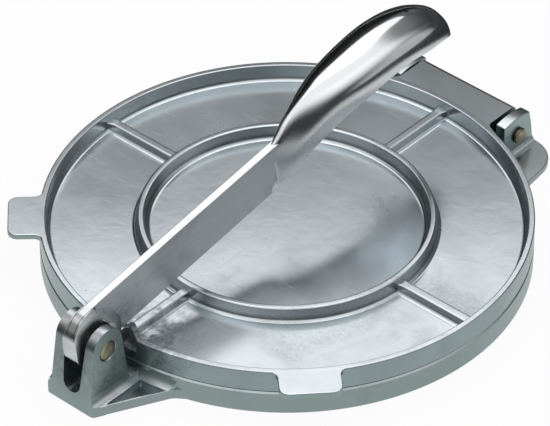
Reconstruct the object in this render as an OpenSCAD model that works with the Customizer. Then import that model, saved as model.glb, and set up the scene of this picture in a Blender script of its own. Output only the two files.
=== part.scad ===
// Lever-operated tortilla press in cast aluminium, closed, with the lever laid over the top plate.
// Millimetres. Origin: centre of the plates, on the table. +Z up, lever yoke at -Y, hinge at +Y.

/* [Plates] */
// Outer diameter of both plates
plate_d = 154; // [140:1:170]
// Height of the base plate, from the table to its pressing face
base_h = 8; // [7:0.1:10]
// Height of the top plate, from its pressing face to the top of its rim
top_h = 7.9; // [7:0.1:10]
// Slit between the two pressing faces when the press is closed
plate_gap = 0.2; // [0.2:0.05:0.6]
// Thickness of each plate's web, behind the pressing face
web_t = 2.4; // [2:0.1:4]
// Width of the rim along its free edge
rim_w = 2; // [1.6:0.1:3]
// Draft of the rim, ring and ribs: how much wider each side is at its foot
draft = 0.5; // [0.2:0.1:0.8]
// Radius of the cast fillet at the foot of the rim, ring and ribs
fillet_r = 1.4; // [0.8:0.1:2]
// Chamfer on the plates' outer edges
edge_c = 0.4; // [0.2:0.1:0.6]

/* [Ring and ribs] */
// Outer diameter of the stiffening ring
ring_d = 93; // [80:1:110]
// Width of the ring along its free edge
ring_w = 2.2; // [1.6:0.1:3.5]
// How far the ring's edge lies below the rim's edge
ring_drop = 0.9; // [0.5:0.1:2]
// Width of a rib along its free edge
rib_w = 2.6; // [2:0.1:4]
// How far a rib's edge lies below the rim's edge
rib_drop = 2.6; // [2:0.1:4]

/* [Lift tabs] */
// Angle of each lift tab from the front, to either side
tab_angle = 46.5; // [35:0.5:60]
// Width of a lift tab
tab_w = 19; // [14:0.5:26]
// How far a lift tab stands out from the plate's edge
tab_out = 9.6; // [6:0.2:14]
// Thickness of a lift tab
tab_t = 2; // [1.6:0.1:3]
// How far the tabs, the tongue and the recess wall lie below the rim's edge
step_down = 0.15; // [0.1:0.05:1]
// Radius of the tab's outer corners
tab_corner_r = 3; // [1:0.5:5]
// Radius of the fillet where the tab's sides meet the plate's edge
tab_root_r = 3; // [1:0.5:5]

/* [Front recess] */
// Half width of the V-shaped recess in the top plate's rim, at the plate's edge
recess_half_w = 7; // [6:0.2:10]
// Depth of the recess, from the plate's edge in to the bottom of the V
recess_depth = 4.6; // [4.2:0.1:7]
// Height of the pressing ledge above the top plate's web
ledge_rise = 0.9; // [0.4:0.1:1.4]

/* [Lever yoke] */
// Distance from the plate's edge to the lever pin
pivot_out = 11.85; // [11.6:0.05:13]
// Height of the lever pin above the table
pivot_h = 19.9; // [19:0.1:21]
// Diameter of the lever pin
lever_pin_d = 6.4; // [5:0.1:7]
// Width across the yoke at the lever pin
yoke_w = 15.8; // [14.5:0.1:18]
// Width across the yoke at its foot
yoke_foot_w = 17; // [16:0.1:20]
// Width of the slot at the lever pin
slot_w = 8.5; // [8.2:0.1:9]
// How much narrower the slot is at its bottom
slot_taper = 1.7; // [1:0.1:2]
// Height of the slot's bottom above the table
slot_floor = 4.9; // [4:0.1:6]
// Radius of the rounded top of each ear
ear_r = 6.1; // [5:0.1:6.5]
// How far that rounding's centre lies above the lever pin
ear_lift = 1.4; // [0.8:0.1:2]
// How far the front face's foot stands out in front of the pin
yoke_front = 9.05; // [8.5:0.05:11]
// How far the ear's back edge stands behind the pin, at its foot
yoke_back = 7.9; // [7:0.1:9]

/* [Yoke foot] */
// Half width of the foot's front edge
foot_half_w = 9.1; // [9:0.1:12]
// Half width of the foot where it runs into the plate
foot_root_half_w = 20.8; // [16:0.2:26]
// Height of the foot's border
foot_h = 3.4; // [2.5:0.1:4.5]
// Width of the foot's border
foot_border_w = 1.3; // [1:0.1:2]
// Thickness of the foot's floor inside its border
foot_floor = 1; // [0.8:0.1:2]

/* [Hinge] */
// Distance from the plate's edge to the hinge pin
hinge_out = 7.8; // [7:0.1:10]
// Height of the hinge pin above the table
hinge_h = 8.8; // [8.6:0.1:9.6]
// Diameter of the hinge pin
hinge_pin_d = 5.4; // [4:0.1:6]
// Width of the top plate's hinge tongue
tongue_w = 37.6; // [30:0.2:44]
// Radius of the hinge tongue's barrel
barrel_r = 4.4; // [3.8:0.1:4.8]
// Gap between the tongue and each hinge ear
tongue_gap = 0.9; // [0.5:0.1:1.5]
// Thickness of each hinge ear
hinge_ear_t = 3.8; // [3:0.1:5]
// Height of the hinge ears' corners above the table
hinge_ear_h = 15; // [14:0.1:16]
// How much the top of a hinge ear is crowned
ear_crown = 0.9; // [0.4:0.1:1.2]
// How far a hinge ear reaches behind the hinge pin, at its foot
hinge_ear_back = 7.2; // [6:0.1:9]
// How far the hinge pin stands out of each ear
pin_proud = 1.6; // [0.6:0.1:3]
// Thickness of the lug that carries the hinge ears
lug_t = 2.4; // [2:0.1:3.2]
// Half width of that lug
lug_half_w = 34.6; // [30:0.2:42]
// How far the lug reaches behind the plate's edge
lug_out = 16; // [15.2:0.2:20]
// Radius of the lug's outer corners
lug_corner_r = 11.2; // [4:0.4:14]

/* [Lever] */
// Angle of the resting lever above the table
lever_tilt = 9.1; // [8.9:0.1:9.4]
// Height of the blade, across its side
blade_h = 16.9; // [14:0.1:18]
// How far the blade's lower edge lies below the pin's centre
blade_low = 4.5; // [4:0.1:5]
// Thickness of the blade
blade_t = 2.7; // [2.4:0.1:4]
// Diameter of the lever's hub round the pin
hub_d = 16; // [14:0.1:16.4]
// Thickness of the hub
hub_t = 5.7; // [5:0.1:6.5]
// Distance from the pin's centre to the grip's neck
neck_at = 84; // [80:0.5:90]
// Length of the grip, from its neck to its tip
grip_len = 81.4; // [70:0.5:90]
// Wall thickness of the hollow grip
grip_wall = 1.8; // [1.4:0.1:2.4]
// Radius of the lever's pressing toe, from the pin's centre
toe_r = 15.6; // [14.8:0.1:15.7]
// Thickness of the pressing toe
toe_t = 3.2; // [2.4:0.1:3.6]
// Clearance between the toe and the ledge it presses on
toe_clear = 0.3; // [0.2:0.05:0.5]
// Width of the boss that stiffens the toe
boss_w = 8.2; // [6:0.1:8.4]

/* [Fits] */
// Radial clearance of a pin that turns in its bore
running_fit = 0.08; // [0.04:0.01:0.1]

/* [Hidden] */
$fn = 96;
eps = 0.01;
hull_fn = 32;
plate_r = plate_d / 2;
ring_r = ring_d / 2;
top_z = base_h + plate_gap;
rim_top = top_z + top_h;
web_top = top_z + web_t;
ledge_z = web_top + ledge_rise;
pivot_y = -plate_r - pivot_out;
front_y = pivot_y - yoke_front;
hinge_y = plate_r + hinge_out;
lug_y = plate_r + lug_out;
ear_in = tongue_w / 2 + tongue_gap;
ear_out = ear_in + hinge_ear_t;
rib_sink = draft + 0.6;
blade_top = blade_h - blade_low;
hub_r = hub_d / 2;
// Radius of the curve that leads from the hub up to the blade's top edge
crown_r = 2 * hub_r;
// Grip stations: [share of the grip's length, half width, rim height, dome height], measured from the
// lever's centre line. Values in between follow a smooth curve.
grip_rows = [
    [0.00, 2.1, -1.4, 14.0], [0.10, 5.4, 4.9, 13.4], [0.22, 7.8, 8.7, 12.1], [0.39, 9.8, 11.0, 11.3],
    [0.59, 10.6, 11.6, 11.2], [0.76, 10.4, 9.9, 10.6], [0.88, 8.9, 6.5, 9.2], [0.96, 6.2, 2.3, 6.8],
    [1.00, 1.2, -1.6, 1.4]
];
grip_stations = 22;
grip_sides = 16;

// ---- helpers ----

// Quarter-round concave fillet at the foot of a wall that leans back as it rises; lean is how far it
// has gone back at the fillet's height
module corner_fillet(r, lean) {
    difference() {
        translate([-2 * lean - 0.2, -0.2]) square([r + lean + 0.2, r + 0.2]);
        translate([r - lean, r]) circle(r);
    }
}

// Half section of a plate: web at the bottom, rim and stiffening ring standing on it
module plate_section(h) {
    wall_in = plate_r - rim_w;
    ring_h = h - ring_drop;
    ring_in = ring_r - ring_w;
    lean = draft * fillet_r / (h - web_t);
    difference() {
        union() {
            square([plate_r, web_t]);
            polygon([[wall_in - draft, web_t - eps], [wall_in, h], [plate_r, h], [plate_r, 0],
                [wall_in - draft, 0]]);
            polygon([[ring_in - draft, web_t - eps], [ring_in, ring_h], [ring_r, ring_h],
                [ring_r + draft, web_t - eps]]);
            translate([ring_r + draft, web_t]) corner_fillet(fillet_r, lean);
            for (x = [wall_in, ring_in]) translate([x - draft, web_t]) mirror([1, 0])
                corner_fillet(fillet_r, lean);
        }
        translate([plate_r, 0]) rotate(45) square(edge_c * sqrt(2), center = true);
        translate([plate_r, h]) rotate(45) square(edge_c * sqrt(2), center = true);
    }
}

// A plate with its web at the bottom: rim, ring and four ribs from the ring to the rim
module ribbed_plate(h) {
    rib_h = h - rib_drop;
    rotate_extrude() plate_section(h);
    for (a = [0 : 90 : 270]) rotate(a) rotate([90, 0, 90])
        translate([0, 0, ring_r - rib_sink]) linear_extrude(plate_r - rim_w + rib_sink - ring_r)
            polygon([[-rib_w / 2 - draft, web_t - eps], [rib_w / 2 + draft, web_t - eps],
                [rib_w / 2, rib_h], [-rib_w / 2, rib_h]]);
}

// Circular pin or bore along X, centred on x = 0
module cross_pin(d, length) {
    rotate([0, 90, 0]) cylinder(d = d, h = length, center = true);
}

// Outline in the Y-Z plane made solid across X, centred on x = 0
module across(width) {
    rotate([90, 0, 90]) translate([0, 0, -width / 2]) linear_extrude(width) children();
}

// Where the tangent from point p touches a circle; side is 1 or -1
function touch(p, c, r, side) =
    let (v = p - c, a = atan2(v[1], v[0]) + side * acos(r / norm(v))) c + r * [cos(a), sin(a)];

// ---- base plate ----

// One ear's side view: rounded top, leaning front edge, back edge running down to the foot
module yoke_side() {
    c = [pivot_y, pivot_h + ear_lift];
    foot_front = [front_y, 0];
    foot_back = [pivot_y + yoke_back, foot_floor];
    translate(c) circle(ear_r);
    polygon([foot_front, touch(foot_front, c, ear_r, -1), c, touch(foot_back, c, ear_r, 1),
        foot_back, [foot_back[0], 0]]);
}

// Yoke seen from the front: tapered block with a tapered slot that has a round bottom
module yoke_front_view() {
    w = yoke_w / 2;
    top = pivot_h + ear_lift + ear_r + 1;
    lean = (yoke_foot_w - yoke_w) / 2 / pivot_h;
    s = (slot_w - slot_taper) / 2;
    spread = slot_taper / 2 / (pivot_h - slot_floor - s);
    difference() {
        polygon([[-yoke_foot_w / 2, 0], [yoke_foot_w / 2, 0], [w - lean * (top - pivot_h), top],
            [lean * (top - pivot_h) - w, top]]);
        translate([0, slot_floor + s]) circle(s);
        polygon([[-s, slot_floor + s], [s, slot_floor + s],
            [slot_w / 2 + spread * (top - pivot_h), top + 1],
            [-slot_w / 2 - spread * (top - pivot_h), top + 1]]);
    }
}

// Two slotted ears on the yoke's foot
module yoke() {
    intersection() {
        across(yoke_foot_w + 2) yoke_side();
        translate([0, pivot_y + yoke_back + 1, 0]) rotate([90, 0, 0])
            linear_extrude(yoke_front + yoke_back + 2) yoke_front_view();
    }
}

// The foot's outline, drawn in by inset on its three free sides
module foot_outline(inset) {
    slope = (foot_root_half_w - foot_half_w) / (-front_y - plate_r);
    side = inset * sqrt(1 + slope * slope);
    y0 = front_y + inset;
    y1 = -plate_r + 4;
    x0 = foot_half_w + slope * inset - side;
    x1 = foot_half_w + slope * (y1 - front_y) - side;
    polygon([[-x0, y0], [x0, y0], [x1, y1], [-x1, y1]]);
}

// Foot that joins the yoke to the plate: thin floor, raised border and a pedestal under the ears
module yoke_foot() {
    rest_y = -plate_r + 2;
    difference() {
        linear_extrude(foot_h) foot_outline(0);
        translate([0, 0, foot_floor]) linear_extrude(foot_h) foot_outline(foot_border_w);
    }
    translate([0, rest_y, 0]) rotate([90, 0, 0]) linear_extrude(rest_y - front_y - foot_border_w)
        polygon([[-yoke_foot_w / 2 - 0.4, 0], [yoke_foot_w / 2 + 0.4, 0],
            [yoke_foot_w / 2 + 0.4, foot_floor], [yoke_w / 2 - 0.5, slot_floor],
            [0.5 - yoke_w / 2, slot_floor], [-yoke_foot_w / 2 - 0.4, foot_floor]]);
}

// Flat lug behind the plate, with rounded outer corners
module hinge_lug() {
    flare = 1.5;
    linear_extrude(lug_t) {
        for (s = [-1, 1]) translate([s * (lug_half_w - lug_corner_r), lug_y - lug_corner_r])
            circle(lug_corner_r);
        polygon([[-lug_half_w, lug_y - lug_corner_r], [lug_corner_r - lug_half_w, lug_y - lug_corner_r],
            [lug_corner_r - lug_half_w, lug_y], [lug_half_w - lug_corner_r, lug_y],
            [lug_half_w - lug_corner_r, lug_y - lug_corner_r], [lug_half_w, lug_y - lug_corner_r],
            [lug_half_w + flare, plate_r * 0.86], [-lug_half_w - flare, plate_r * 0.86]]);
    }
}

// Side view of a hinge ear: crowned top, sloping back edge, foot run forward into the plate
module hinge_ear_side() {
    half = 6.4;
    crown = (half * half + ear_crown * ear_crown) / (2 * ear_crown);
    intersection() {
        polygon([[plate_r * 0.95, 0], [plate_r * 0.95, base_h - 1.2], [hinge_y - half - 0.6, base_h - 1.2],
            [hinge_y - half - 0.6, hinge_ear_h + ear_crown], [hinge_y + half - 0.8, hinge_ear_h + ear_crown],
            [hinge_y + hinge_ear_back, lug_t], [hinge_y + hinge_ear_back, 0]]);
        union() {
            translate([hinge_y - 0.7, hinge_ear_h + ear_crown - crown]) circle(crown);
            translate([0, 0]) square([2 * plate_r, base_h]);
        }
    }
}

module base_plate() color([0.72, 0.74, 0.75]) {
    difference() {
        union() {
            translate([0, 0, base_h]) mirror([0, 0, 1]) ribbed_plate(base_h);
            yoke_foot();
            yoke();
            difference() {
                hinge_lug();
                translate([0, 0, -1]) cylinder(r = plate_r - rim_w / 2, h = lug_t + 2);
            }
            for (s = [-1, 1]) translate([s * (ear_in + ear_out) / 2, 0, 0]) across(hinge_ear_t)
                hinge_ear_side();
        }
        translate([0, pivot_y, pivot_h]) cross_pin(lever_pin_d, yoke_foot_w + 2);
        translate([0, hinge_y, hinge_h]) cross_pin(hinge_pin_d, 2 * ear_out + 2);
    }
}

// ---- top plate ----

// One lift tab, seen from above, pointing along -y
module tab_outline() {
    half = tab_w / 2;
    out = plate_r + tab_out;
    sink = 0.2;
    root = sqrt(pow(plate_r - sink + tab_root_r, 2) - pow(half + tab_root_r, 2));
    difference() {
        union() {
            for (s = [-1, 1]) translate([s * (half - tab_corner_r), tab_corner_r - out])
                circle(tab_corner_r);
            translate([-half, tab_corner_r - out]) square([tab_w, out - tab_corner_r - 0.9 * plate_r]);
            translate([tab_corner_r - half, -out]) square([tab_w - 2 * tab_corner_r, tab_corner_r + 1]);
            translate([-half - tab_root_r, -root]) square([tab_w + 2 * tab_root_r, root - 0.9 * plate_r]);
        }
        for (s = [-1, 1]) translate([s * (half + tab_root_r), -root]) circle(tab_root_r);
    }
}

// Recess outline in the plate's front edge, seen from above, widened by grow
module recess_outline(grow) {
    edge = -sqrt(plate_r * plate_r - recess_half_w * recess_half_w);
    tip = recess_depth - plate_r + grow;
    slope = (tip - edge) / recess_half_w;
    out = 4;
    polygon([[0, tip], [recess_half_w + grow, edge], [recess_half_w + grow, edge - out],
        [-recess_half_w - grow, edge - out], [-recess_half_w - grow, edge]]);
}

// Tongue at the back, rolled into a barrel round the hinge pin
module tongue_side() {
    back = hinge_y + barrel_r;
    round_r = 2;
    translate([hinge_y, hinge_h]) circle(barrel_r);
    top = rim_top - step_down;
    translate([plate_r - rim_w, hinge_h]) square([back - plate_r + rim_w - round_r, top - hinge_h]);
    translate([plate_r - rim_w, hinge_h]) square([back - plate_r + rim_w, top - hinge_h - round_r]);
    translate([back - round_r, top - round_r]) circle(round_r);
}

module top_plate() color([0.76, 0.78, 0.79]) {
    difference() {
        union() {
            difference() {
                translate([0, 0, top_z]) ribbed_plate(top_h);
                translate([0, 0, ledge_z]) linear_extrude(top_h) recess_outline(0);
            }
            // Rim wall that follows the recess
            translate([0, 0, top_z]) intersection() {
                rotate_extrude() translate([0, web_t / 2])
                    square([plate_r - rim_w / 2, top_h - step_down - web_t / 2]);
                linear_extrude(top_h) difference() {
                    recess_outline(rim_w);
                    recess_outline(0);
                }
            }
            // Pressing ledge at the foot of the recess
            intersection() {
                translate([0, 0, top_z + web_t / 2]) cylinder(r = plate_r - rim_w / 2,
                    h = web_t / 2 + ledge_rise);
                translate([0, 0, top_z]) linear_extrude(top_h) recess_outline(rim_w / 2);
            }
            for (s = [-1, 1]) translate([0, 0, rim_top - step_down - tab_t]) linear_extrude(tab_t)
                difference() {
                    rotate(s * tab_angle) tab_outline();
                    circle(plate_r - rim_w / 2);
                }
            difference() {
                across(tongue_w) tongue_side();
                translate([0, 0, -1]) cylinder(r = plate_r - rim_w / 2, h = rim_top + 2);
            }
        }
        translate([0, hinge_y, hinge_h]) cross_pin(hinge_pin_d + 2 * running_fit, tongue_w + 2);
    }
}

// ---- lever ----

// Smooth value between two neighbouring grip rows
function blend(a, b, t) = a + (b - a) * t;
function row_at(s, i = 0) = i >= len(grip_rows) - 2 || s < grip_rows[i + 1][0] ? i : row_at(s, i + 1);
function slope_of(i, k) =
    let (a = max(i - 1, 0), b = min(i + 1, len(grip_rows) - 1))
    (grip_rows[b][k] - grip_rows[a][k]) / (grip_rows[b][0] - grip_rows[a][0]);
function grip_value(s, k) =
    let (i = row_at(s), p = grip_rows[i], q = grip_rows[i + 1], d = q[0] - p[0], t = (s - p[0]) / d)
    (2 * t * t * t - 3 * t * t + 1) * p[k] + (t * t * t - 2 * t * t + t) * d * slope_of(i, k)
    + (3 * t * t - 2 * t * t * t) * q[k] + (t * t * t - t * t) * d * slope_of(i + 1, k);
// Stations lie closer together towards the rounded tip
function station(i) = sin(90 * i / (grip_stations - 1));
// Points of one half-oval section; wall is taken off its width and height
function grip_section(s, wall) =
    let (w = max(grip_value(s, 1) - wall, 0.25), r = grip_value(s, 2),
        h = max(grip_value(s, 3) - wall, 0.25), u = neck_at + grip_len * s)
    [for (j = [0 : grip_sides]) let (a = 180 * j / grip_sides) [w * cos(a), u, r + h * sin(a)]];

// Solid dome from the neck to the tip, open end capped, flat below
module grip_dome(wall, first, last, drop) {
    n = grip_sides + 1;
    rows = [for (i = [first : last]) let (p = grip_section(station(i), wall))
        concat(p, [[p[n - 1][0], p[n - 1][1], p[n - 1][2] - drop], [p[0][0], p[0][1], p[0][2] - drop]])];
    m = n + (drop > 0 ? 2 : 0);
    used = [for (r = rows) [for (j = [0 : m - 1]) r[j]]];
    k = len(used);
    points = [for (r = used) for (p = r) p];
    polyhedron(points, concat(
        [[for (j = [m - 1 : -1 : 0]) j]],
        [for (i = [0 : k - 2]) for (j = [0 : m - 1]) let (a = i * m + j, b = i * m + (j + 1) % m)
            each [[a, b + m, a + m], [a, b, b + m]]],
        [[for (j = [0 : m - 1]) (k - 1) * m + j]]), convexity = 6);
}

// Side view of hub and blade: x along the lever, y up, pin's centre at the origin
module lever_side() {
    // The crown arc touches the blade's top edge and the hub's circle
    centre_y = blade_top - crown_r;
    centre_x = sqrt(pow(crown_r - hub_r, 2) - pow(centre_y, 2));
    tuck = 10;
    circle(hub_r);
    intersection() {
        translate([centre_x, centre_y]) circle(crown_r);
        translate([-hub_r, 0]) square([hub_r + centre_x, blade_top]);
    }
    translate([0, -blade_low]) square([centre_x, blade_low + eps]);
    translate([centre_x - eps, -blade_low]) square([neck_at - centre_x, blade_h]);
    // Inner end of the blade, let into the hollow grip
    polygon([[neck_at - 1, -1.2], [neck_at - 1, blade_top], [neck_at + 2 * tuck, blade_top + 4],
        [neck_at + 2 * tuck, blade_top - 2]]);
}

// Top view of hub and blade: thick at the hub, tapering to the blade
module lever_plan() {
    b = blade_t / 2;
    h = hub_t / 2;
    polygon([[-hub_r - 1, -h], [hub_r, -h], [hub_r + 5, -b], [neck_at + 30, -b], [neck_at + 30, b],
        [hub_r + 5, b], [hub_r, h], [-hub_r - 1, h]]);
}

// Pressing toe below the blade, bounded by an arc round the pin
module toe_side() {
    reach = pivot_h - ledge_z - toe_clear;
    intersection() {
        circle(toe_r);
        rotate(-lever_tilt) translate([4, -reach]) square([toe_r, reach]);
    }
}

// Boss that stiffens the toe: a low pyramid on each side of the blade
module toe_boss() {
    h = blade_t / 2;
    hull() {
        rotate([90, 0, 0]) linear_extrude(2 * h, center = true)
            polygon([[3.4, 6.6], [8.6, 6.9], [11.6, -3.6], [10, -7.4], [6, -7.2]]);
        rotate([90, 0, 0]) linear_extrude(boss_w, center = true)
            polygon([[8.2, 2.2], [9.7, -2.4], [9.2, -6.6], [6.6, -5.6], [8.2, -2]]);
    }
}

module lever() color([0.8, 0.81, 0.82]) translate([0, pivot_y, pivot_h]) rotate([lever_tilt, 0, 0]) {
    difference() {
        union() {
            intersection() {
                across(hub_t) lever_side();
                translate([0, 0, -50]) rotate(90) linear_extrude(100) lever_plan();
            }
            across(toe_t) toe_side();
            rotate(90) toe_boss();
            difference() {
                grip_dome(0, 0, grip_stations - 1, 0);
                grip_dome(grip_wall, 2, grip_stations - 2, 30);
            }
        }
        cross_pin(lever_pin_d + 2 * running_fit, hub_t + 2);
    }
}

// ---- pins ----

module lever_pin() color([0.62, 0.6, 0.5]) {
    translate([0, pivot_y, pivot_h]) cross_pin(lever_pin_d, yoke_w);
}

module hinge_pin() color([0.62, 0.6, 0.5]) {
    translate([0, hinge_y, hinge_h]) cross_pin(hinge_pin_d, 2 * (ear_out + pin_proud));
}

base_plate();
top_plate();
lever();
lever_pin();
hinge_pin();
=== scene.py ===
# %% [markdown]
# # A lever tortilla press in cast aluminium
# This lesson dresses an exact model of a small tortilla press. The model is loaded as a frame: its
# pieces already have their true sizes and places, and each moving piece rides on a body. We model
# finer pieces over it, give them metal finishes, light them and set the camera.
# Everything is in metres, with the middle of the plates on the table at the origin. The lever's
# yoke is at -Y and the hinge at +Y.

# %% Load the frame
import bpy
import bmesh
import math
from mathutils import Matrix, Vector


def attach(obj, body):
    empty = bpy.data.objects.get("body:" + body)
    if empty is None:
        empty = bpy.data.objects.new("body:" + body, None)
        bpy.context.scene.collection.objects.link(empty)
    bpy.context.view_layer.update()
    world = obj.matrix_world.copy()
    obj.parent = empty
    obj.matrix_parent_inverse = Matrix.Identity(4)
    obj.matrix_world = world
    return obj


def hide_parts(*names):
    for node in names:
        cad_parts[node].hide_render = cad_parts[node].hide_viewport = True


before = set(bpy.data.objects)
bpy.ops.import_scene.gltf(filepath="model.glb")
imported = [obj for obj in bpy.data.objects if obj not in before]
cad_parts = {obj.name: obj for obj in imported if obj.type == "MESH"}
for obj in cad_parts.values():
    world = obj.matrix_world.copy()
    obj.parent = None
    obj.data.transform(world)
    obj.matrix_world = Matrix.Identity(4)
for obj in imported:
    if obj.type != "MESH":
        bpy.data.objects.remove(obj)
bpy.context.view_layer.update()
MM = 0.001
scene = bpy.context.scene
scene.view_settings.view_transform = "Standard"

# %% [markdown]
# ## The camera
# The press is seen from above its front right, through a long lens, so its plates look almost like
# ellipses. A camera is a place, a direction to look back from, and a focal length.

# %% The camera
def look_axes(azimuth, elevation):
    """The camera's right, up and back directions."""
    a, e = math.radians(azimuth), math.radians(elevation)
    back = Vector((math.sin(a) * math.cos(e), -math.cos(a) * math.cos(e), math.sin(e)))
    right = Vector((math.cos(a), math.sin(a), 0))
    return right, back.cross(right), back


def place_camera(azimuth, elevation, distance, right_by, up_by, lens):
    """Adds the camera at a distance from the origin, moved right and up without turning it."""
    right, up, back = look_axes(azimuth, elevation)
    bpy.ops.object.camera_add()
    camera = bpy.context.object
    camera.name = "camera"
    spot = back * distance + right * right_by + up * up_by
    camera.matrix_world = Matrix.Translation(spot) @ Matrix((right, up, back)).transposed().to_4x4()
    camera.data.sensor_width = 36
    camera.data.lens = lens
    camera.data.clip_start, camera.data.clip_end = 0.05, 20
    scene.camera = camera
    return camera


camera = place_camera(azimuth=41.725, elevation=38.801, distance=1389.3 * MM, right_by=-3.69 * MM,
    up_by=11.72 * MM, lens=290.95)
print("camera at", [round(x, 3) for x in camera.location])

# %% [markdown]
# ## Helpers for modelling
# Castings are made of a few kinds of solid: turned plates, flat pieces cut to an outline, and pieces
# that change their outline as they rise. One helper builds all three. It adds a flat circle, drags
# its corners onto the first outline, and extrudes it level by level, as by hand in edit mode.
# Outlines are written in millimetres and scaled once, when the corners are placed.

# %% Selecting one piece
def alone():
    """Object mode with nothing selected."""
    if bpy.context.object and bpy.context.object.mode != "OBJECT":
        bpy.ops.object.mode_set(mode="OBJECT")
    bpy.ops.object.select_all(action="DESELECT")


def take(piece):
    """Only this piece, selected and active."""
    alone()
    piece.select_set(True)
    bpy.context.view_layer.objects.active = piece


def edit_all(piece):
    """Edit mode with the whole piece selected."""
    take(piece)
    bpy.ops.object.mode_set(mode="EDIT")
    bpy.ops.mesh.select_all(action="SELECT")


print("selection helpers ready")

# %% Rounding the corners of an outline
def rounded(corners, steps=5, closed=True):
    """The outline through the corners, given as (a, b) or (a, b, radius), with arcs at the radii."""
    out, count = [], len(corners)
    for i, corner in enumerate(corners):
        p = Vector(corner[:2])
        if len(corner) < 3 or (not closed and i in (0, count - 1)):
            out.append(tuple(p))
            continue
        to_last = (Vector(corners[i - 1][:2]) - p).normalized()
        to_next = (Vector(corners[(i + 1) % count][:2]) - p).normalized()
        half = to_last.angle(to_next) / 2
        centre = p + (to_last + to_next).normalized() * corner[2] / math.sin(half)
        first = p + to_last * corner[2] / math.tan(half) - centre
        last = p + to_next * corner[2] / math.tan(half) - centre
        turn = first.angle(last)
        for k in range(steps + 1):
            a, b = math.sin((1 - k / steps) * turn), math.sin(k / steps * turn)
            out.append(tuple(centre + (first * a + last * b) / math.sin(turn)))
    return out


def arc(centre, radius, start, end, steps):
    """Points on an arc, from one angle to another in degrees."""
    angles = [math.radians(start + (end - start) * k / steps) for k in range(steps + 1)]
    return [(centre[0] + radius * math.cos(a), centre[1] + radius * math.sin(a)) for a in angles]


def circle(centre, radius, steps):
    """A whole circle, without the last point, which would lie on the first."""
    return arc(centre, radius, 0, 360, steps)[:-1]


square = rounded([(0, 0, 1), (4, 0, 1), (4, 4, 1), (0, 4, 1)])
print("a square with round corners has", len(square), "points")

# %% Building a solid level by level
VIEWS = {
    "plan": lambda a, b, h: Vector((a, b, h)),
    "side": lambda a, b, h: Vector((h, a, b)),
    "front": lambda a, b, h: Vector((a, h, b)),
}


def stacked(name, levels, view="plan"):
    """A closed solid through the levels, each an outline and its height. The view says which way the
    outlines face: plan is seen from above, side from +X and front from -Y."""
    put = VIEWS[view]
    first, height = levels[0]
    alone()
    bpy.ops.mesh.primitive_circle_add(vertices=len(first), radius=0.01, fill_type="NGON")
    piece = bpy.context.object
    piece.name = piece.data.name = name
    for corner, (a, b) in zip(piece.data.vertices, first):
        corner.co = put(a, b, height) * MM
    bpy.ops.object.mode_set(mode="EDIT")
    bpy.ops.mesh.select_all(action="SELECT")
    for outline, level in levels[1:]:
        rise = put(0, 0, level - height) * MM
        was = {}
        for i, (a, b) in enumerate(first):
            p = put(a, b, level) * MM
            was[tuple(round(x * 1e6) for x in p)] = i
        bpy.ops.mesh.extrude_region_move(TRANSFORM_OT_translate={"value": rise})
        shape = bmesh.from_edit_mesh(piece.data)
        for corner in [v for v in shape.verts if v.select]:
            key = tuple(round(x * 1e6) for x in corner.co)
            near = key
            if key not in was:
                near = min(was, key=lambda k: sum((x - y) ** 2 for x, y in zip(k, key)))
            corner.co = put(*outline[was[near]], level) * MM
        bmesh.update_edit_mesh(piece.data)
        first, height = outline, level
    bpy.ops.mesh.select_all(action="SELECT")
    bpy.ops.mesh.normals_make_consistent(inside=False)
    bpy.ops.object.mode_set(mode="OBJECT")
    return piece


def turned(name, profile, sides=192):
    """A solid of revolution about Z, through the (radius, height) points of the profile."""
    ring = circle((0, 0), 1, sides)
    return stacked(name, [([(x * r, y * r) for x, y in ring], z) for r, z in profile])


print("solids are built in", ", ".join(VIEWS), "view")

# %% Joining, cutting and softening
def combine(piece, other, how="UNION"):
    """Joins the other solid to the piece, cuts it away or keeps what they share."""
    take(piece)
    bpy.ops.object.modifier_add(type="BOOLEAN")
    change = piece.modifiers[-1]
    change.operation, change.object, change.solver = how, other, "EXACT"
    bpy.ops.object.modifier_apply(modifier=change.name)
    bpy.data.objects.remove(other)


def bore(piece, centre, radius, reach, steps=40):
    """Drills a round hole through the piece along X, as far as the reach on both sides."""
    hole = circle(centre, radius, steps)
    combine(piece, stacked("bore", [(hole, -reach), (hole, reach)], "side"), "DIFFERENCE")


def soften(piece, width, angle=40, segments=2):
    """Rounds the edges that turn by more than the angle."""
    take(piece)
    bpy.ops.object.modifier_add(type="BEVEL")
    change = piece.modifiers[-1]
    change.width, change.segments, change.angle_limit = width * MM, segments, math.radians(angle)
    change.limit_method = "ANGLE"
    bpy.ops.object.modifier_apply(modifier=change.name)
    return piece


def copied(piece, move=Matrix.Identity(4)):
    """A copy with its own mesh, moved or turned."""
    take(piece)
    bpy.ops.object.duplicate()
    twin = bpy.context.object
    twin.data.transform(move)
    if move.determinant() < 0:
        twin.data.flip_normals()
    return twin


def smooth(piece, angle=32):
    """Smooth shading that keeps the sharp edges and lets the flat faces stay flat."""
    edit_all(piece)
    bpy.ops.mesh.remove_doubles(threshold=1e-6)
    bpy.ops.object.mode_set(mode="OBJECT")
    bpy.ops.object.shade_smooth_by_angle(angle=math.radians(angle))
    bpy.ops.object.modifier_add(type="WEIGHTED_NORMAL")
    change = piece.modifiers[-1]
    change.keep_sharp, change.weight = True, 80
    bpy.ops.object.modifier_apply(modifier=change.name)


print("joining helpers ready")

# %% [markdown]
# ## The top plate
# The plate is a sand casting: a thin web, stiffened on its upper side by a rim, a round ring and
# four ribs, with a fillet wherever a wall meets the web, because metal shrinks and cracks at a sharp
# inner corner. The round part is turned from one profile. Each wall leans a little, so the casting
# leaves its mould.

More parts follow.
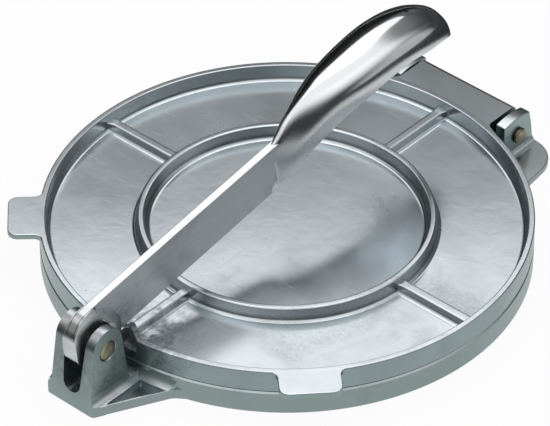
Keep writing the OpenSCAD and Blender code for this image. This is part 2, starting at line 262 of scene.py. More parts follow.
# %% The round part of the top plate
EDGE = 77  # the plates' radius
TOP_LOW, TOP_HIGH, TOP_FLOOR, TOP_RING = 8.2, 16.1, 10.6, 15.2
top_profile = rounded([
    (EDGE - 0.5, TOP_LOW), (EDGE, TOP_LOW + 0.5), (EDGE, TOP_HIGH, 0.45), (75, TOP_HIGH, 0.4),
    (74.45, TOP_FLOOR, 1.5), (47.1, TOP_FLOOR, 1.4), (46.5, TOP_RING, 0.7), (44.3, TOP_RING, 0.7),
    (43.7, TOP_FLOOR, 1.6), (30, TOP_FLOOR),
], closed=False)
top = turned("top_plate_cast", top_profile)
print("top plate:", len(top_profile), "rings,", len(top.data.polygons), "faces")

# %% [markdown]
# ## Ribs
# A rib is a low wall from the ring to the rim. It has a fillet along its foot and flares at both
# ends. It rises through a stack of outlines, each a little narrower than the last. One rib is made
# along +X and copied round.

# %% One rib
RIB_START, RIB_END, FRONT_RIB_END, RIB_HIGH = 45.2, 76.0, 73.1, 13.2


def rib_outline(half, start, end, flare=1.5):
    """The rib from above: half its width along most of its length, wider at both ends."""
    spots = [0, 0.5, 1.1, 1.8, 2.6, 3.6]
    along = [start + s for s in spots] + [end - s for s in reversed(spots)]
    wide = [flare * (1 - s / spots[-1]) ** 2 for s in spots]
    extra = [0.7 * w for w in wide] + list(reversed(wide))
    side = [(x, half + w) for x, w in zip(along, extra)]
    return side + [(x, -y) for x, y in reversed(side)]


def rib(name, start, end, floor, high, flare=1.5):
    """A rib along +X that stands on the floor, with a fillet at its foot and a round top."""
    section = rounded([(3.5, floor - 0.05), (3.4, floor + 0.01), (2.0, floor + 0.01, 1.2), (1.5, high, 0.6),
        (0.5, high)], steps=4, closed=False)
    return stacked(name, [(rib_outline(w, start, end, flare), z) for w, z in section])


def turn(degrees):
    """A turn about Z."""
    return Matrix.Rotation(math.radians(degrees), 4, "Z")


side_rib = rib("rib", RIB_START, RIB_END, TOP_FLOOR, RIB_HIGH)
front_rib = rib("front_rib", RIB_START, FRONT_RIB_END, TOP_FLOOR, RIB_HIGH, flare=0.5)
print("a rib has", len(side_rib.data.polygons), "faces")

# %% Setting the ribs on the top plate
for angle in (90, 180):
    combine(top, copied(side_rib, turn(angle)))
combine(top, side_rib)
combine(top, copied(front_rib, turn(-90)))
bpy.data.objects.remove(front_rib)
print("top plate with ribs:", len(top.data.polygons), "faces")

# %% [markdown]
# ## The pressing recess
# The lever's toe presses at the front edge of the top plate. There the rim turns inwards round a
# small recess, and leaves a ledge for the toe. A block is joined to the rim, and the recess is cut
# out of both, so that a wall of even thickness is left.

# %% The recess
recess = rounded([(-9.0, -80), (-8.2, -76.7, 0.7), (-1.5, -72.6, 1.4), (1.5, -72.6, 1.4), (8.2, -76.7, 0.7),
    (9.0, -80)], steps=4)
block = rounded([(-12.5, -74.9), (-8.2, -74.6, 1.0), (-1.8, -70.6, 1.6), (1.8, -70.6, 1.6), (8.2, -74.6, 1.0),
    (12.5, -74.9), (12, -75.6), (0, -76.3), (-12, -75.6)], steps=4)
narrow = [(x * 0.995, y - 0.25 if abs(x) < 10 and y > -75 else y) for x, y in block]
wall_levels = [(block, TOP_FLOOR - 1), (block, 15.6), (narrow, TOP_HIGH - 0.06)]
combine(top, stacked("recess_wall", wall_levels))
combine(top, stacked("recess_cut", [(recess, 11.5), (recess, 20)]), "DIFFERENCE")
print("top plate with recess:", len(top.data.polygons), "faces")

# %% [markdown]
# ## Lift tabs and hinge tongue
# Two flat tabs near the front are for lifting the plate. At the back a broad tongue runs out and is
# rolled into a barrel round the hinge pin.

# %% The lift tabs
TAB_TURN = 46.5
tab_line = rounded([(-15, -75.2), (-9.5, -76.2, 3), (-9.5, -86.6, 3.2), (9.5, -86.6, 3.2), (9.5, -76.2, 3),
    (15, -75.2), (14, -74.6), (0, -76.1), (-14, -74.6)], steps=6)
tab = soften(stacked("tab", [(tab_line, 14.1), (tab_line, TOP_HIGH - 0.02)]), 0.35)
for side in (1, -1):
    combine(top, copied(tab, turn(side * TAB_TURN)))
bpy.data.objects.remove(tab)
print("top plate with tabs:", len(top.data.polygons), "faces")

# %% The hinge tongue
HINGE, HINGE_BORE = (84.8, 8.8), 2.78
tongue_side = rounded([(73, 16.05), (89.2, 16.05, 2.2), (89.2, 4.4, 4.38), (80.4, 4.4, 4.38),
    (80.4, 8.9, 0.1), (73, 8.9)], steps=8)
tongue_plan = rounded([(-18.8, 95), (-18.8, 75.2, 2.5), (-24, 73), (-21, 73.2), (0, 76), (21, 73.2), (24, 73),
    (18.8, 75.2, 2.5), (18.8, 95)], steps=5)
tongue = stacked("tongue", [(tongue_side, -25), (tongue_side, 25)], "side")
combine(tongue, stacked("tongue_plan", [(tongue_plan, 0), (tongue_plan, 20)]), "INTERSECT")
combine(top, soften(tongue, 0.35))
bore(top, HINGE, HINGE_BORE, 20)
smooth(top)
print("top plate done:", len(top.data.polygons), "faces")

# %% [markdown]
# ## The base plate
# The base is the same kind of casting turned upside down: its web faces up, and its rim, ring and
# ribs stand on the table. It also carries the lever's yoke, the hinge's ears and the lugs under them.

# %% The round part of the base plate
BASE_HIGH, BASE_WEB, BASE_RING = 8.0, 5.6, 0.9
base_profile = rounded([
    (30, BASE_WEB), (43.7, BASE_WEB, 1.5), (44.3, BASE_RING, 0.5), (46.5, BASE_RING, 0.5),
    (47.1, BASE_WEB, 1.4), (74.45, BASE_WEB, 1.5), (75, 0, 0.4), (EDGE, 0, 0.5), (EDGE, BASE_HIGH - 0.5),
    (EDGE - 0.5, BASE_HIGH),
], closed=False)
base = turned("base_plate_cast", base_profile)
under_rib = rib("under_rib", RIB_START, RIB_END, 0, 3.0)
over = Matrix.Translation((0, 0, BASE_WEB * MM)) @ Matrix.Diagonal((1, 1, -1, 1))
for angle in (0, 90, 180, 270):
    combine(base, copied(under_rib, turn(angle) @ over))
bpy.data.objects.remove(under_rib)
print("base plate with ribs below:", len(base.data.polygons), "faces")

# %% [markdown]
# ## The yoke
# Two ears carry the lever's pin. Seen from the side each ear is a round top on a leaning post. Seen
# from the front the pair is a block with a slot that has a round bottom. The solid that both views
# share is the yoke: a drawn side view and a drawn front view are intersected.

# %% The yoke's side view
PIVOT = Vector((0, -88.85, 19.9))
YOKE_FRONT, EAR_RADIUS = -97.9, 6.1


def touch(point, centre, radius, side):
    """Where the line from the point touches the circle, on the side given as 1 or -1."""
    away = Vector(point) - Vector(centre)
    angle = math.atan2(away.y, away.x) + side * math.acos(radius / away.length)
    return math.degrees(angle)


ear_top = (PIVOT.y, 21.3)
ear_back = (-80.6, 4.7)
front_angle = touch((YOKE_FRONT, 0), ear_top, EAR_RADIUS, -1) + 360
back_angle = touch(ear_back, ear_top, EAR_RADIUS, 1)
ear_side = [(YOKE_FRONT, 0), (-75.6, 0), (-75.6, 5.5), ear_back]
ear_side += arc(ear_top, EAR_RADIUS, back_angle, front_angle, 20)
print("ear outline:", len(ear_side), "points, tangents at", round(front_angle), round(back_angle))

# %% [markdown]
# A third view trims the yoke: the foot's outline from above. It is narrow in front and grows wider
# towards the plate, so the foot's sides run out from the yoke's front corners.

# %% The foot's outline
def foot_line(inset, blend, corner=1.6, front=YOKE_FRONT):
    """The foot from above, drawn in by the inset. The blend rounds the corner at the plate."""
    lean = inset * 1.14
    return rounded([(-9.3 + lean * 0.5, front, corner), (9.3 - lean * 0.5, front, corner),
        (21.0 - lean, -75.2, blend), (25, -72.2), (20, -70), (-20, -70), (-25, -72.2),
        (-21.0 + lean, -75.2, blend)], steps=6)


FOOT_TOP = 3.4
print("foot outline:", len(foot_line(0, 6)), "points")

# %% The yoke
hollow = arc((11.4, 6.7), 3.3, 256, 184, 9)
half = [(11.2, 0), (11.2, FOOT_TOP - 0.15)] + hollow + [(7.6, 28.5)]
block_front = [(-x, z) for x, z in reversed(half)] + half
slot_front = arc((0, 8.3), 3.4, 180, 360, 12) + [(4.75, 30), (-4.75, 30)]
yoke = stacked("yoke", [(ear_side, -12), (ear_side, 12)], "side")
combine(yoke, stacked("yoke_front", [(block_front, -100), (block_front, -74)], "front"), "INTERSECT")
combine(yoke, stacked("yoke_plan", [(foot_line(0, 0.4), -1), (foot_line(0, 0.4), 30)]), "INTERSECT")
combine(yoke, stacked("yoke_slot", [(slot_front, -101), (slot_front, -78.5)], "front"), "DIFFERENCE")
soften(yoke, 0.4, angle=35)
pin_hole, pin_mouth = circle(PIVOT.yz, 3.32, 40), circle(PIVOT.yz, 3.6, 40)
combine(yoke, stacked("pin_hole", [(pin_mouth, -8.6), (pin_mouth, -7.8), (pin_hole, -7.5), (pin_hole, 7.5),
    (pin_mouth, 7.8), (pin_mouth, 8.6)], "side"), "DIFFERENCE")
print("yoke:", len(yoke.data.polygons), "faces")

# %% [markdown]
# ## The yoke's foot
# A thin foot ties the yoke to the plate. It has a raised border round two shallow pockets. A hollow
# fillet runs down each side of the yoke into the foot, and another runs along the plate's wall.

# %% The foot and its pockets
foot = stacked("foot", [(foot_line(0.04, 5, 1, -97.6), 0.02),
    (foot_line(0.05, 0.5, 1, -97.1), FOOT_TOP - 0.12), (foot_line(0.17, 0.5, 1, -97.0), FOOT_TOP)])
wall_rise = []
for reach, z in ((79.5, 2.0), (79.4, 3.3), (78.8, 3.7), (78.1, 4.4), (77.5, 5.2), (77.1, 6.0), (76.6, 6.8)):
    angles = [math.radians(a) for a in range(-20, 21, 2)]
    front = [(reach * math.sin(a), -reach * math.cos(a)) for a in angles]
    wall_rise.append((front + [(20, -71), (-20, -71)], z))
wall_fillet = stacked("wall_fillet", wall_rise)
sides = [(-9.28, -98), (9.28, -98), (20.98, -75.2), (23.6, -70.2), (-23.6, -70.2), (-20.98, -75.2)]
combine(wall_fillet, stacked("fillet_plan", [(sides, -1), (sides, 30)]), "INTERSECT")
combine(foot, wall_fillet)
print("foot:", len(foot.data.polygons), "faces")

# %% Joining the yoke, then cutting the pockets
combine(foot, yoke)
rear = arc((0, 0), 79.05, -81.3, -75.8, 4)
pocket = rounded([(10.62, -93.9, 0.3), (10.62, -78.2, 0.4)] + rear[1:-1] + [(19.33, -77.0, 0.3)], steps=3)
middle = (13.6, -82.5)
pocket_low = [(x + (middle[0] - x) * 0.07, y + (middle[1] - y) * 0.05) for x, y in pocket]
cut = stacked("pocket", [(pocket_low, 2.1), (pocket, 4.6)])
combine(foot, copied(cut, Matrix.Diagonal((-1, 1, 1, 1))), "DIFFERENCE")
combine(foot, cut, "DIFFERENCE")
combine(base, foot)
print("base plate with yoke:", len(base.data.polygons), "faces")

# %% [markdown]
# ## The hinge's ears
# Behind the plate a flat lug carries two ears with crowned tops. The top plate's tongue turns
# between them on one long pin.

# %% The lug and the ears
lug_line = rounded([(-37.6, 66), (-34.2, 93.0, 11.2), (34.2, 93.0, 11.2), (37.6, 66)], steps=10)
lug = soften(stacked("lug", [(lug_line, 0.03), (lug_line, 2.6)]), 0.5, segments=3)
hinge_ear = [(73.2, 1), (73.2, 6.8), (77.8, 6.8)] + arc((84.1, -7.5), 23.4, 105.6, 74.4, 8)
hinge_ear += [(91.6, 9.5), (92.2, 4.6), (92.4, 1)]
EAR_THICK, EAR_INNER = 3.8, 19.8
for x in (-EAR_INNER - EAR_THICK, EAR_INNER):
    ear = stacked("hinge_ear", [(hinge_ear, x), (hinge_ear, x + EAR_THICK)], "side")
    combine(lug, soften(ear, 0.4, segments=3))
ear_foot = [([(73, 1), (73, z), (92.3, z), (92.4, 1)], x)
    for x, z in ((23.2, 4.6), (23.6, 4.2), (24.1, 3.4), (24.8, 2.9), (25.8, 2.65))]
combine(lug, copied(stacked("ear_foot", ear_foot, "side"), Matrix.Diagonal((-1, 1, 1, 1))))
combine(lug, bpy.data.objects["ear_foot"])
inside = circle((0, 0), EDGE - 0.8, 192)
combine(lug, stacked("round_cut", [(inside, -1), (inside, 12)]), "DIFFERENCE")
combine(base, lug)
bore(base, HINGE, HINGE_BORE, 26)
edit_all(base)
bpy.ops.mesh.remove_doubles(threshold=0.002 * MM)
bpy.ops.object.mode_set(mode="OBJECT")
smooth(base)
print("base plate done:", len(base.data.polygons), "faces")

# %% [markdown]
# ## The pins
# The pins are plain rods. Their ends are broken by a small chamfer, and the hinge pin has a shallow
# groove just outside each ear.

# %% The pins
def rod(name, centre, profile, sides=48):
    """A turned rod along X, through (radius, x) points."""
    return stacked(name, [(circle(centre, r, sides), x) for r, x in profile], "side")


def both_ends(half):
    """The whole profile from its right half, given from the end inwards."""
    return [(r, -x) for r, x in half] + [(r, x) for r, x in reversed(half)]


lever_rod = rod("lever_pin_rod", PIVOT.yz, both_ends([(1.6, 7.86), (2.6, 7.8), (3.0, 7.62), (3.2, 7.35)]))
hinge_rod = rod("hinge_pin_rod", HINGE, both_ends([(1.5, 25.1), (2.3, 25.0), (2.6, 24.8), (2.7, 24.5),
    (2.7, 24.05), (2.35, 23.95), (2.35, 23.75), (2.7, 23.65)]))
for piece in (lever_rod, hinge_rod):
    smooth(piece, 25)
print("pins:", len(lever_rod.data.polygons), len(hinge_rod.data.polygons), "faces")

# %% [markdown]
# ## The lever
# The lever is one casting: a hub round the pin, a flat blade, and a hollow grip that is open below.
# It is drawn lying level with its pin at the origin, with u along the blade and v across it, and
# then tilted and moved to the yoke. The blade's side view and its top view are intersected, which
# makes it thick at the hub and thin along the blade.

# %% The hub and the blade
blade_side = arc((0, 0), 8.1, -35, -178, 18)
blade_side += rounded([(-8.1, 0.6), (-7.6, 7.6, 5.5), (-3.0, 12.0, 5.5), (6, 12.5)], steps=6,
    closed=False)[1:]
blade_side += [(60, 12.6), (97, 12.6), (97, 5.5), (81.4, -2.0), (80.8, -4.1), (40, -4.4)]
HALF_BLADE = 1.35
blade = stacked("lever_cast", [(blade_side, -HALF_BLADE), (blade_side, HALF_BLADE)], "side")
print("blade:", len(blade.data.polygons), "faces")

# %% The hub
rims = [(8.6, 2.85, 0), (10.2, 2.25, 0.6), (12.7, 1.2, 2.1)]  # radius, place on the pin, shift
sides = [(r, -x, f) for r, x, f in rims] + [(r, x, f) for r, x, f in reversed(rims)]
hub = stacked("hub", [(circle((-f, f * 0.5), r, 48), x) for r, x, f in sides], "side")
combine(hub, stacked("hub_side", [(blade_side, -4), (blade_side, 4)], "side"), "INTERSECT")
combine(blade, hub)
print("blade with hub:", len(blade.data.polygons), "faces")

# %% The toe and its boss
toe_line = [(4.6, -4)] + rounded([(6.2, -9.0, 1.2), (11.2, -9.9, 0.8)], steps=3, closed=False)
toe_line += arc((0, 0), 15.5, -37, -21, 5) + [(12.4, -3.8)]
HALF_TOE = 2.4
combine(blade, soften(stacked("toe", [(toe_line, -HALF_TOE), (toe_line, HALF_TOE)], "side"), 0.4))


def boss(side):
    """A low roof-shaped boss on one side of the blade, drawn as a hull round its corners."""
    corners = [(1.2, 2.2, 9.3), (1.2, 9.4, 7.4), (1.2, 12.4, 0.4), (1.2, 12.9, -3.6), (1.2, 11.8, -8.2),
        (1.2, 5.0, -8.4), (3.6, 5.2, 5.4), (3.7, 8.3, 2.2), (3.6, 9.0, -3.0), (3.3, 8.6, -7.0),
        (3.3, 4.8, -5.0), (1.2, 2, 2)]
    alone()
    bpy.ops.mesh.primitive_circle_add(vertices=len(corners), radius=0.01)
    piece = bpy.context.object
    for v, (x, u, w) in zip(piece.data.vertices, corners):
        v.co = Vector((side * x, u, w)) * MM
    edit_all(piece)
    bpy.ops.mesh.convex_hull(delete_unused=True)
    bpy.ops.mesh.select_all(action="SELECT")
    bpy.ops.mesh.normals_make_consistent(inside=False)
    bpy.ops.object.mode_set(mode="OBJECT")
    return piece


for side in (-1, 1):
    combine(blade, boss(side))
bore(blade, (0, 0), 3.3, 6)
soften(blade, 0.25, angle=38)
smooth(blade)
print("blade with toe:", len(blade.data.polygons), "faces")

# %% [markdown]
# ## The grip
# The grip is a hollow shell with steep flanks under a rounded crown. It is drawn as a sheet: each row
# across it is a smooth curve through a few heights that follow stations along the lever. The flanks
# start in line with the blade's sides. The sheet gets a thickness inwards and is subdivided once, so
# that polished reflections run smoothly.

# %% The grip's stations
GRIP = [  # along, half width, heights of rim, flank top, shoulder and crown, the shoulder's place
    (83.0, 1.8, -3.2, 4.0, 9.0, 11.9, 0.7), (86.0, 3.3, -1.3, 4.6, 10.6, 13.1, 0.58),
    (89.0, 4.6, 1.0, 6.8, 13.0, 15.7, 0.54), (92.0, 5.3, 3.0, 9.1, 14.8, 17.9, 0.54),
    (97.0, 6.3, 5.4, 12.0, 17.0, 19.9, 0.57), (103.0, 7.3, 7.4, 14.8, 18.8, 21.4, 0.65),
    (110.0, 8.4, 9.4, 16.2, 19.9, 22.4, 0.73), (120.0, 9.7, 10.9, 16.2, 20.1, 22.8, 0.77),
    (132.0, 10.4, 11.7, 15.9, 19.9, 22.7, 0.78), (140.0, 10.5, 10.9, 14.8, 18.9, 21.8, 0.78),
    (148.0, 10.1, 8.6, 12.6, 16.8, 19.8, 0.78), (156.0, 8.6, 5.8, 9.4, 13.2, 15.8, 0.78),
    (162.0, 6.0, 2.2, 5.0, 7.9, 9.8, 0.78), (165.4, 1.0, -1.6, -1.2, -0.4, 0.0, 0.78),
]
GRIP_START, GRIP_END = GRIP[0][0], GRIP[-1][0]


def between(u, column):
    """A smooth value between the stations."""
    rows, last = GRIP, len(GRIP) - 1
    i = max(k for k in range(last) if k == 0 or rows[k][0] <= u)

    def slope(k):
        """How fast the column rises at a station."""
        a, b = max(k - 1, 0), min(k + 1, last)
        return (rows[b][column] - rows[a][column]) / (rows[b][0] - rows[a][0])

    span = rows[i + 1][0] - rows[i][0]
    t = (u - rows[i][0]) / span
    return ((2 * t**3 - 3 * t**2 + 1) * rows[i][column] + (t**3 - 2 * t**2 + t) * span * slope(i)
            + (3 * t**2 - 2 * t**3) * rows[i + 1][column] + (t**3 - t**2) * span * slope(i + 1))


def section(u, share):
    """A point across the grip; share runs from 0 at the left rim to 1 at the right rim."""
    w, rim, flank, shoulder, crown, place = (between(u, k) for k in (1, 2, 3, 4, 5, 6))
    half = [(w, rim), (w, (rim + flank) / 2), (w * 0.96, flank), (w * place, shoulder),
        (w * place * 0.52, crown - w * 0.12)]
    hull = [(-x, v) for x, v in half] + [(0, crown + w * 0.06)] + half[::-1]
    hull = [hull[0]] * 2 + hull + [hull[-1]] * 2
    spot = min(share, 0.99999) * (len(hull) - 3)
    i, t = int(spot), spot - int(spot)
    weights = ((1 - t)**3 / 6, (3 * t**3 - 6 * t**2 + 4) / 6, (-3 * t**3 + 3 * t**2 + 3 * t + 1) / 6,
        t**3 / 6)
    return [sum(f * hull[i + k][axis] for k, f in enumerate(weights)) for axis in (0, 1)]


print("half width in the middle of the grip:", round(between(130, 1), 2))

# %% The grip
ROWS, ACROSS, SHEET, GRIP_WALL = 44, 26, 0.02, 1.8
alone()
bpy.ops.mesh.primitive_grid_add(x_subdivisions=ACROSS, y_subdivisions=ROWS, size=SHEET)
grip = bpy.context.object
grip.name = grip.data.name = "grip"
for v in grip.data.vertices:
    along, share = v.co.y / SHEET + 0.5, v.co.x / SHEET + 0.5
    u = GRIP_START + (GRIP_END - GRIP_START) * math.sin(math.radians(90 * along))
    across, up = section(u, share)
    v.co = Vector((across, u, up)) * MM
edit_all(grip)
bpy.ops.mesh.normals_make_consistent(inside=False)
bpy.ops.object.mode_set(mode="OBJECT")
crown = max(grip.data.polygons, key=lambda f: f.center.z)
if crown.normal.z < 0:
    grip.data.flip_normals()
bpy.ops.object.modifier_add(type="SOLIDIFY")
grip.modifiers[-1].thickness, grip.modifiers[-1].offset = GRIP_WALL * MM, -1
bpy.ops.object.modifier_apply(modifier=grip.modifiers[-1].name)
bpy.ops.object.modifier_add(type="SUBSURF")
grip.modifiers[-1].levels = grip.modifiers[-1].render_levels = 1
bpy.ops.object.modifier_apply(modifier=grip.modifiers[-1].name)
bpy.ops.object.shade_smooth_by_angle(angle=math.radians(50))
print("grip:", len(grip.data.polygons), "faces")

# %% Joining the lever and laying it over the plate
take(blade)
grip.select_set(True)
bpy.ops.object.join()
lever = bpy.context.object
LEVER_RISE = 9.1
tilt = Matrix.Translation(PIVOT * MM) @ Matrix.Rotation(math.radians(LEVER_RISE), 4, "X")
lever.data.transform(tilt)
print("lever reaches", round(max(v.co.z for v in lever.data.vertices) / MM, 1), "mm high")

# %% [markdown]
# ## Finishes
# All the big pieces are bare aluminium, and what sets them apart is how they were worked. Flat faces
# are tumbled bright, the blade is linished with a belt and the grip is buffed like a mirror. Walls are
# painted greyer, as shade. Three effects are shared: soft blotches, fine grain along one direction, and
# a mask for walls, which also places the painted wall shade. Each is a node group that puts out a mask.

# %% A helper for node groups
def node_group(name, inputs, outputs):
    """An empty shader group with its sockets; returns the group and its two end nodes."""
    tree = bpy.data.node_groups.new(name, "ShaderNodeTree")
    for side, sockets in (("INPUT", inputs), ("OUTPUT", outputs)):
        for label, kind, value in sockets:
            socket = tree.interface.new_socket(name=label, in_out=side, socket_type=kind)
            if value is not None:
                socket.default_value = value
    return tree, tree.nodes.new("NodeGroupInput"), tree.nodes.new("NodeGroupOutput")


VECTOR, FLOAT = "NodeSocketVector", "NodeSocketFloat"
print("group helper ready")

# %% Helpers for single nodes
def feed(join, socket, value):
    """Joins a socket to the input, or sets the input to a number or a colour."""
    if isinstance(value, bpy.types.NodeSocket):
        join(value, socket)
    else:
        socket.default_value = value


def maths(add, join, kind, *values):
    """One sum on sockets and numbers."""
    node = add("ShaderNodeMath")
    node.operation = kind
    for socket, value in zip(node.inputs, values):
        feed(join, socket, value)
    return node.outputs[0]


def noise(add, join, vector, scale, detail, **more):
    """The value of a noise texture."""
    node = add("ShaderNodeTexNoise")
    join(vector, node.inputs["Vector"])
    for label, value in {"Scale": scale, "Detail": detail, **more}.items():
        feed(join, node.inputs[label], value)
    return node.outputs["Fac"]


def fade(add, join, value, start, end, low=0.0, high=1.0, soft=False):
    """A value moved from the range start to end into the range low to high, with soft ends if asked."""
    node = add("ShaderNodeMapRange")
    node.interpolation_type = "SMOOTHSTEP" if soft else "LINEAR"
    labels = ("Value", "From Min", "From Max", "To Min", "To Max")
    for label, number in zip(labels, (value, start, end, low, high)):
        feed(join, node.inputs[label], number)
    return node.outputs["Result"]


def ranged(add, join, value, low, high):
    """A value from 0 to 1 moved into the range from low to high."""
    return fade(add, join, value, 0.0, 1.0, low, high)


def from_axis(add, join, vector):
    """How far a point is from the plates' axis."""
    level, reach = add("ShaderNodeVectorMath"), add("ShaderNodeVectorMath")
    level.operation, level.inputs[1].default_value = "MULTIPLY", (1, 1, 0)
    reach.operation = "LENGTH"
    join(vector, level.inputs[0])
    join(level.outputs[0], reach.inputs[0])
    return reach.outputs["Value"]


print("node helpers ready")

# %% Soft blotches
blotches, gin, gout = node_group("metal_blotches", [("Vector", VECTOR, None), ("Scale", FLOAT, 60.0)],
    [("Mask", FLOAT, None)])
add, join = blotches.nodes.new, blotches.links.new
cloud = noise(add, join, gin.outputs["Vector"], gin.outputs["Scale"], 3, Roughness=0.55, Distortion=0.6)
join(fade(add, join, cloud, 0.3, 0.7), gout.inputs["Mask"])
print("blotches:", len(blotches.nodes), "nodes")

# %% Fine grain along one direction
grain, gin, gout = node_group("linished_grain", [("Vector", VECTOR, None), ("Stretch", VECTOR, (1, 1, 1))],
    [("Mask", FLOAT, None)])
add, join = grain.nodes.new, grain.links.new
stretch = add("ShaderNodeVectorMath")
stretch.operation = "MULTIPLY"
join(gin.outputs["Vector"], stretch.inputs[0])
join(gin.outputs["Stretch"], stretch.inputs[1])
join(noise(add, join, stretch.outputs[0], 1, 3), gout.inputs["Mask"])
print("grain:", len(grain.nodes), "nodes")

# %% A mask for walls
walls, gin, gout = node_group("wall_mask", [("Normal", VECTOR, None), ("Vector", VECTOR, None),
    ("Flat", FLOAT, 0.95), ("Steep", FLOAT, 0.5)], [("Wall", FLOAT, None), ("Outside", FLOAT, None)])
add, join = walls.nodes.new, walls.links.new
OUTER_WALL = (0.0756, 0.0764)  # the outside of the plates starts between these distances from the axis
part = add("ShaderNodeSeparateXYZ")
join(gin.outputs["Normal"], part.inputs[0])
level = maths(add, join, "ABSOLUTE", part.outputs["Z"])
wall = fade(add, join, level, gin.outputs["Flat"], gin.outputs["Steep"], soft=True)
# Outside picks the plates' outer walls, which get a dark greenish painted shade.
outer_wall_shade = fade(add, join, from_axis(add, join, gin.outputs["Vector"]), *OUTER_WALL)
join(wall, gout.inputs["Wall"])
join(maths(add, join, "MULTIPLY", wall, outer_wall_shade), gout.inputs["Outside"])
print("wall mask:", len(walls.nodes), "nodes")

# %% [markdown]
# ## Marks of use and painted shade
# A bright plate shows every mark. Four more groups draw them: thin dark rings at the foot of a wall,
# which are painted crease shade with some dust, greasy stains, a few scratches in two directions, and
# the small holes that sand leaves in a casting, painted dark as the shade inside them. A fifth puts out
# a mask round one spot, for painted shade with some grease near the moving parts.

# %% A dark ring of painted crease shade
crease_shade_and_dust_ring, gin, gout = node_group("crease_shade_and_dust_ring", [("Vector", VECTOR, None), ("Radius", FLOAT, 0.07),
    ("Width", FLOAT, 0.0004)], [("Mask", FLOAT, None)])
add, join = crease_shade_and_dust_ring.nodes.new, crease_shade_and_dust_ring.links.new
off = maths(add, join, "SUBTRACT", from_axis(add, join, gin.outputs["Vector"]), gin.outputs["Radius"])
near = fade(add, join, maths(add, join, "ABSOLUTE", off), gin.outputs["Width"], 0.00005)
broken_along = fade(add, join, noise(add, join, gin.outputs["Vector"], 120, 3), 0.3, 0.55, low=0.35)
join(maths(add, join, "MULTIPLY", near, broken_along), gout.inputs["Mask"])
print("ring line:", len(crease_shade_and_dust_ring.nodes), "nodes")

# %% Stains
stains, gin, gout = node_group("greasy_stains", [("Vector", VECTOR, None), ("Scale", FLOAT, 30.0),
    ("Start", FLOAT, 0.52), ("End", FLOAT, 0.75)], [("Mask", FLOAT, None)])
add, join = stains.nodes.new, stains.links.new
patch = noise(add, join, gin.outputs["Vector"], gin.outputs["Scale"], 4, Distortion=0.8)
edge = fade(add, join, patch, gin.outputs["Start"], gin.outputs["End"])
specks = fade(add, join, noise(add, join, gin.outputs["Vector"], 900, 2), 0.35, 0.6, low=0.45)
join(maths(add, join, "MULTIPLY", edge, specks), gout.inputs["Mask"])
print("stains:", len(stains.nodes), "nodes")

# %% Scratches
scratches, gin, gout = node_group("hair_scratches", [("Vector", VECTOR, None), ("Amount", FLOAT, 1.0)],
    [("Mask", FLOAT, None)])
add, join = scratches.nodes.new, scratches.links.new
found = []
for angle, stretch in ((25, (26, 900, 60)), (-50, (34, 1300, 60))):
    way = add("ShaderNodeMapping")
    way.inputs["Rotation"].default_value[2] = math.radians(angle)
    way.inputs["Scale"].default_value = stretch
    join(gin.outputs["Vector"], way.inputs["Vector"])
    found.append(fade(add, join, noise(add, join, way.outputs["Vector"], 1, 2), 0.69, 0.78))
most = maths(add, join, "MAXIMUM", *found)
join(maths(add, join, "MULTIPLY", most, gin.outputs["Amount"]), gout.inputs["Mask"])
print("scratches:", len(scratches.nodes), "nodes")

# %% Sand holes
holes, gin, gout = node_group("sand_holes", [("Vector", VECTOR, None), ("Scale", FLOAT, 330.0),
    ("Rarity", FLOAT, 0.9)], [("Mask", FLOAT, None)])
add, join = holes.nodes.new, holes.links.new
cell, pick = add("ShaderNodeTexVoronoi"), add("ShaderNodeSeparateColor")
join(gin.outputs["Vector"], cell.inputs["Vector"])
join(gin.outputs["Scale"], cell.inputs["Scale"])
join(cell.outputs["Color"], pick.inputs[0])
kept = maths(add, join, "GREATER_THAN", pick.outputs[0], gin.outputs["Rarity"])
dot = fade(add, join, cell.outputs["Distance"], 0.09, 0.03)
join(maths(add, join, "MULTIPLY", kept, dot), gout.inputs["Mask"])
print("sand holes:", len(holes.nodes), "nodes")

# %% Round one spot
spot_mask, gin, gout = node_group("round_a_spot", [("Vector", VECTOR, None), ("Spot", VECTOR, (0, 0, 0)),
    ("Near", FLOAT, 0.005), ("Far", FLOAT, 0.02)], [("Mask", FLOAT, None)])
add, join = spot_mask.nodes.new, spot_mask.links.new
reach = add("ShaderNodeVectorMath")
reach.operation = "DISTANCE"
join(gin.outputs["Vector"], reach.inputs[0])
join(gin.outputs["Spot"], reach.inputs[1])
close = fade(add, join, reach.outputs["Value"], gin.outputs["Far"], gin.outputs["Near"], soft=True)
join(close, gout.inputs["Mask"])
print("spot mask:", len(spot_mask.nodes), "nodes")

# %% [markdown]
# ## The cast aluminium of the plates
# Base Color mixes the bright face with a greyer wall colour by the wall mask, which is painted shade,
# and blotches shift it a little. Stains darken it. So do the rings, the spots round the moving parts
# and the sand holes, which are painted shade in creases, recesses and pits, with some dust and grease.
# The same masks raise the roughness, so walls and marks are duller than faces. Scratches and holes also
# go into the bump.

# %% A cast material
def material(name, metallic, roughness):
    """A material with its Principled BSDF set; returns it with its node maker and linker."""
    finish = bpy.data.materials.new(name)
    finish.use_nodes = True
    bsdf = finish.node_tree.nodes["Principled BSDF"]
    bsdf.inputs["Metallic"].default_value = metallic
    bsdf.inputs["Roughness"].default_value = roughness
    return finish, bsdf, finish.node_tree.nodes.new, finish.node_tree.links.new


def placed(add, tree):
    """A group set down in a material."""
    node = add("ShaderNodeGroup")
    node.node_tree = tree
    return node


def mix(add, join, fac, one, two):
    """A colour mix. Each input is a socket, a number or a colour."""
    node = add("ShaderNodeMix")
    node.data_type = "RGBA"
    for value, socket in ((fac, node.inputs[0]), (one, node.inputs[6]), (two, node.inputs[7])):
        feed(join, socket, value)
    return node.outputs[2]


def marked(add, join, tree, vector, **values):
    """A group placed on the object's own coordinates with its values set; returns its mask."""
    node = placed(add, tree)
    join(vector, node.inputs["Vector"])
    for label, value in values.items():
        node.inputs[label].default_value = value
    return node.outputs["Mask"]


BUMP_DEPTH = 0.00003


